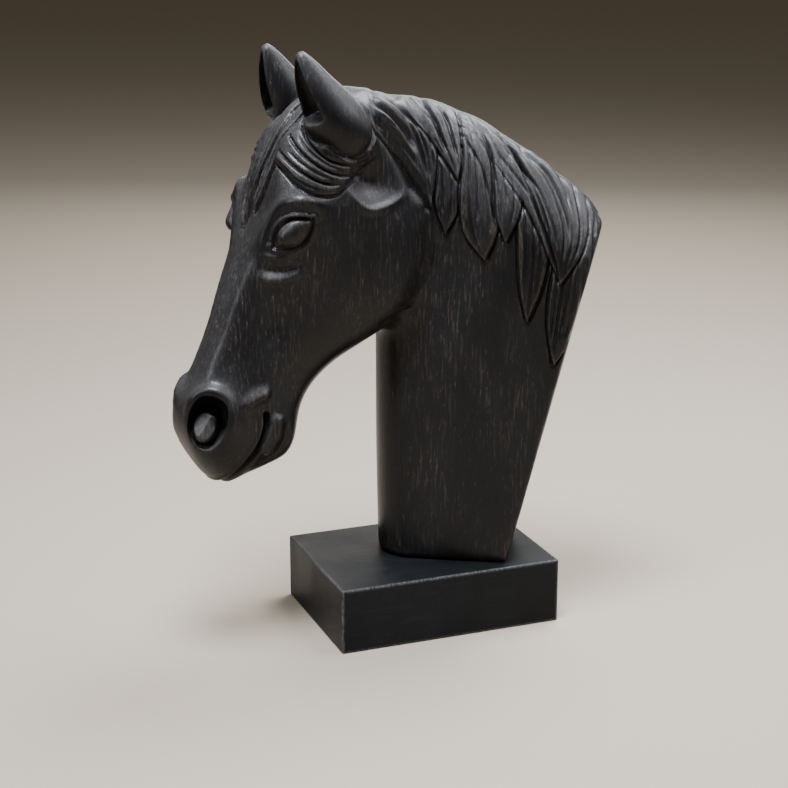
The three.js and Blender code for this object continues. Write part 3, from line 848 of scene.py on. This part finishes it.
def worn_block(tree, rubbed, where, flecks):
    """The block's edges rubbed pale: the places close to two of its faces at once."""
    axes = add(tree, "SeparateXYZ", {"Vector": where})
    near = []
    for axis, half in enumerate(BLOCK_HALF):
        middle = half if axis == 2 else 0.0
        off = add(tree, "Math", {0: axes[axis], 1: -middle * MM}, operation="ADD")[0]
        off = add(tree, "Math", {0: off, 1: 0}, operation="ABSOLUTE")[0]
        start, full = ((half - depth) * MM for depth in RUBBED_EDGE)
        near.append(add(tree, "MapRange", {"Value": off, "From Min": start, "From Max": full})[0])
    edge = None
    for i, j in ((0, 1), (1, 2), (0, 2)):
        pair = add(tree, "Math", {0: near[i], 1: near[j]}, operation="MULTIPLY")[0]
        edge = add(tree, "Math", {0: edge, 1: pair}, operation="MAXIMUM")[0] if edge else pair
    broken = add(tree, "MapRange", {"Value": flecks, "From Min": 0.36, "From Max": 0.62})[0]
    edge = add(tree, "Math", {0: edge, 1: broken}, operation="MULTIPLY")[0]
    return add(tree, "Math", {0: rubbed, 1: edge}, operation="MAXIMUM")[0]


def stained_wood(name, dark, mid, rub, rough, shine, streak, rub_amount, carved):
    """Stained, waxed and rubbed wood. carved has marks of wear on its mesh, and a block has none."""
    material = bpy.data.materials.new(name)
    material.use_nodes = True
    tree = material.node_tree
    tree.nodes.clear()
    where = add(tree, "TexCoord", {})["Object"]
    streaks = marks_of_size(tree, where, streak, 5.0, 0.62)
    patches = marks_of_size(tree, where, PATCH, 3.0, 0.55)
    flecks = marks_of_size(tree, where, FLECK, 4.0, 0.7, 0.6)
    pores = marks_of_size(tree, where, PORE, 2.0, 0.5)
    patchy = add(tree, "MapRange", {"Value": patches, "From Min": 0.35, "From Max": 0.68})[0]
    shade = add(tree, "Mix", {0: patchy, 6: colour(dark), 7: colour(mid)}, data_type="RGBA")[2]
    rubbed = rubbed_through(tree, streaks, patches, flecks, rub_amount)
    if carved:
        rubbed, shade = worn_carving(tree, rubbed, shade, flecks)
    else:
        rubbed = worn_block(tree, rubbed, where, flecks)
    base = add(tree, "Mix", {0: rubbed, 6: shade, 7: colour(rub)}, data_type="RGBA")[2]
    dulled = add(tree, "MapRange", {"Value": patches, "From Min": 0.3, "From Max": 0.7})[0]
    dulled = add(tree, "Math", {0: dulled, 1: 0.16}, operation="MULTIPLY")[0]
    gloss = add(tree, "Math", {0: rough, 1: dulled}, operation="ADD")[0]
    bare = add(tree, "Math", {0: rubbed, 1: 0.18}, operation="MULTIPLY")[0]
    gloss = add(tree, "Math", {0: gloss, 1: bare}, operation="ADD")[0]
    streak_height = add(tree, "Math", {0: streaks, 1: 0.6}, operation="MULTIPLY")[0]
    pore_height = add(tree, "Math", {0: pores, 1: 0.35}, operation="MULTIPLY")[0]
    height = add(tree, "Math", {0: streak_height, 1: pore_height}, operation="ADD")[0]
    bump = add(tree, "Bump", {"Strength": 0.35, "Distance": 0.8 * MM, "Height": height})[0]
    shader = add(tree, "BsdfPrincipled", {"IOR": 1.5, "Specular IOR Level": shine, "Base Color": base,
                                          "Roughness": gloss, "Normal": bump})[0]
    add(tree, "OutputMaterial", {"Surface": shader})
    return material


# Wood carved with gouges, stained near-black and waxed: a soft sheen on its round forms, brown
# flecks along the grain, a grey on the faces that look up that is partly dust and partly painted
# top light, and painted shade in its hollows.
carved_wood = stained_wood("wood_carved_stained_waxed", "#0b0b0c", "#151618", "#7a6c5e", rough=0.27,
                           shine=0.2, streak=HEAD_STREAK, rub_amount=0.46, carved=True)
horse.data.materials.clear()
horse.data.materials.append(carved_wood)
horse.data.polygons.foreach_set("material_index", np.zeros(len(horse.data.polygons), np.int32))
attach(horse, "root")
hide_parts("horse_head")

# Planed wood, stained black: flatter and duller than the carving, with thin pale lines at its edges.
block_wood = stained_wood("wood_planed_black_stained", "#0f1011", "#16181a", "#5a5c5b", rough=0.38,
                          shine=0.11, streak=BLOCK_STREAK, rub_amount=0.12, carved=False)
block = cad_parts["plinth"]
block.data.materials.clear()
block.data.materials.append(block_wood)

# ---- floor and light -----------------------------------------------------------------------------

def add_floor():
    bpy.ops.object.select_all(action="DESELECT")
    bpy.ops.mesh.primitive_plane_add(size=30.0, location=(0, 0, 0))
    floor = bpy.context.object
    floor.name = "floor"
    paint = bpy.data.materials.new("paint_matt_pale")
    paint.use_nodes = True
    shader = paint.node_tree.nodes["Principled BSDF"]
    shader.inputs["Base Color"].default_value = colour("#a59a88")
    shader.inputs["Roughness"].default_value = 0.85   # matt, so it mirrors nothing
    floor.data.materials.append(paint)


def add_light(name, place, aim, size, watts, tint):
    data = bpy.data.lights.new(name, "AREA")
    data.shape = "RECTANGLE"
    data.size, data.size_y = size
    data.energy = watts
    data.color = colour(tint)[:3]
    light = bpy.data.objects.new(name, data)
    bpy.context.scene.collection.objects.link(light)
    light.location = place
    light.rotation_euler = (Vector(aim) - Vector(place)).to_track_quat("-Z", "Y").to_euler()


def add_lights():
    world = bpy.data.worlds.new("studio")
    world.use_nodes = True
    world.node_tree.nodes["Background"].inputs[0].default_value = colour("#e9dfcb")
    world.node_tree.nodes["Background"].inputs[1].default_value = 0.15
    bpy.context.scene.world = world
    middle = (0, -0.05, 0.35)
    add_light("softbox_top", (0.5, -0.4, 1.9), middle, (0.6, 0.6), 80, "#eef3ff")
    add_light("softbox_over", (-0.4, 0.8, 1.9), middle, (1.0, 1.0), 78, "#f2f5ff")
    add_light("softbox_side", (0.6, 1.3, 1.4), middle, (0.9, 0.9), 17, "#f4f6ff")
    add_light("softbox_front", (0.6, -2.1, 1.3), middle, (0.5, 1.0), 24, "#f6f6ff")
    add_light("softbox_right", (1.7, 1.3, 1.4), middle, (0.6, 0.8), 5, "#f4f6ff")
    add_light("softbox_back", (-2.1, 0.9, 1.1), middle, (1.8, 0.8), 16, "#fbf8f2")


add_floor()
add_lights()
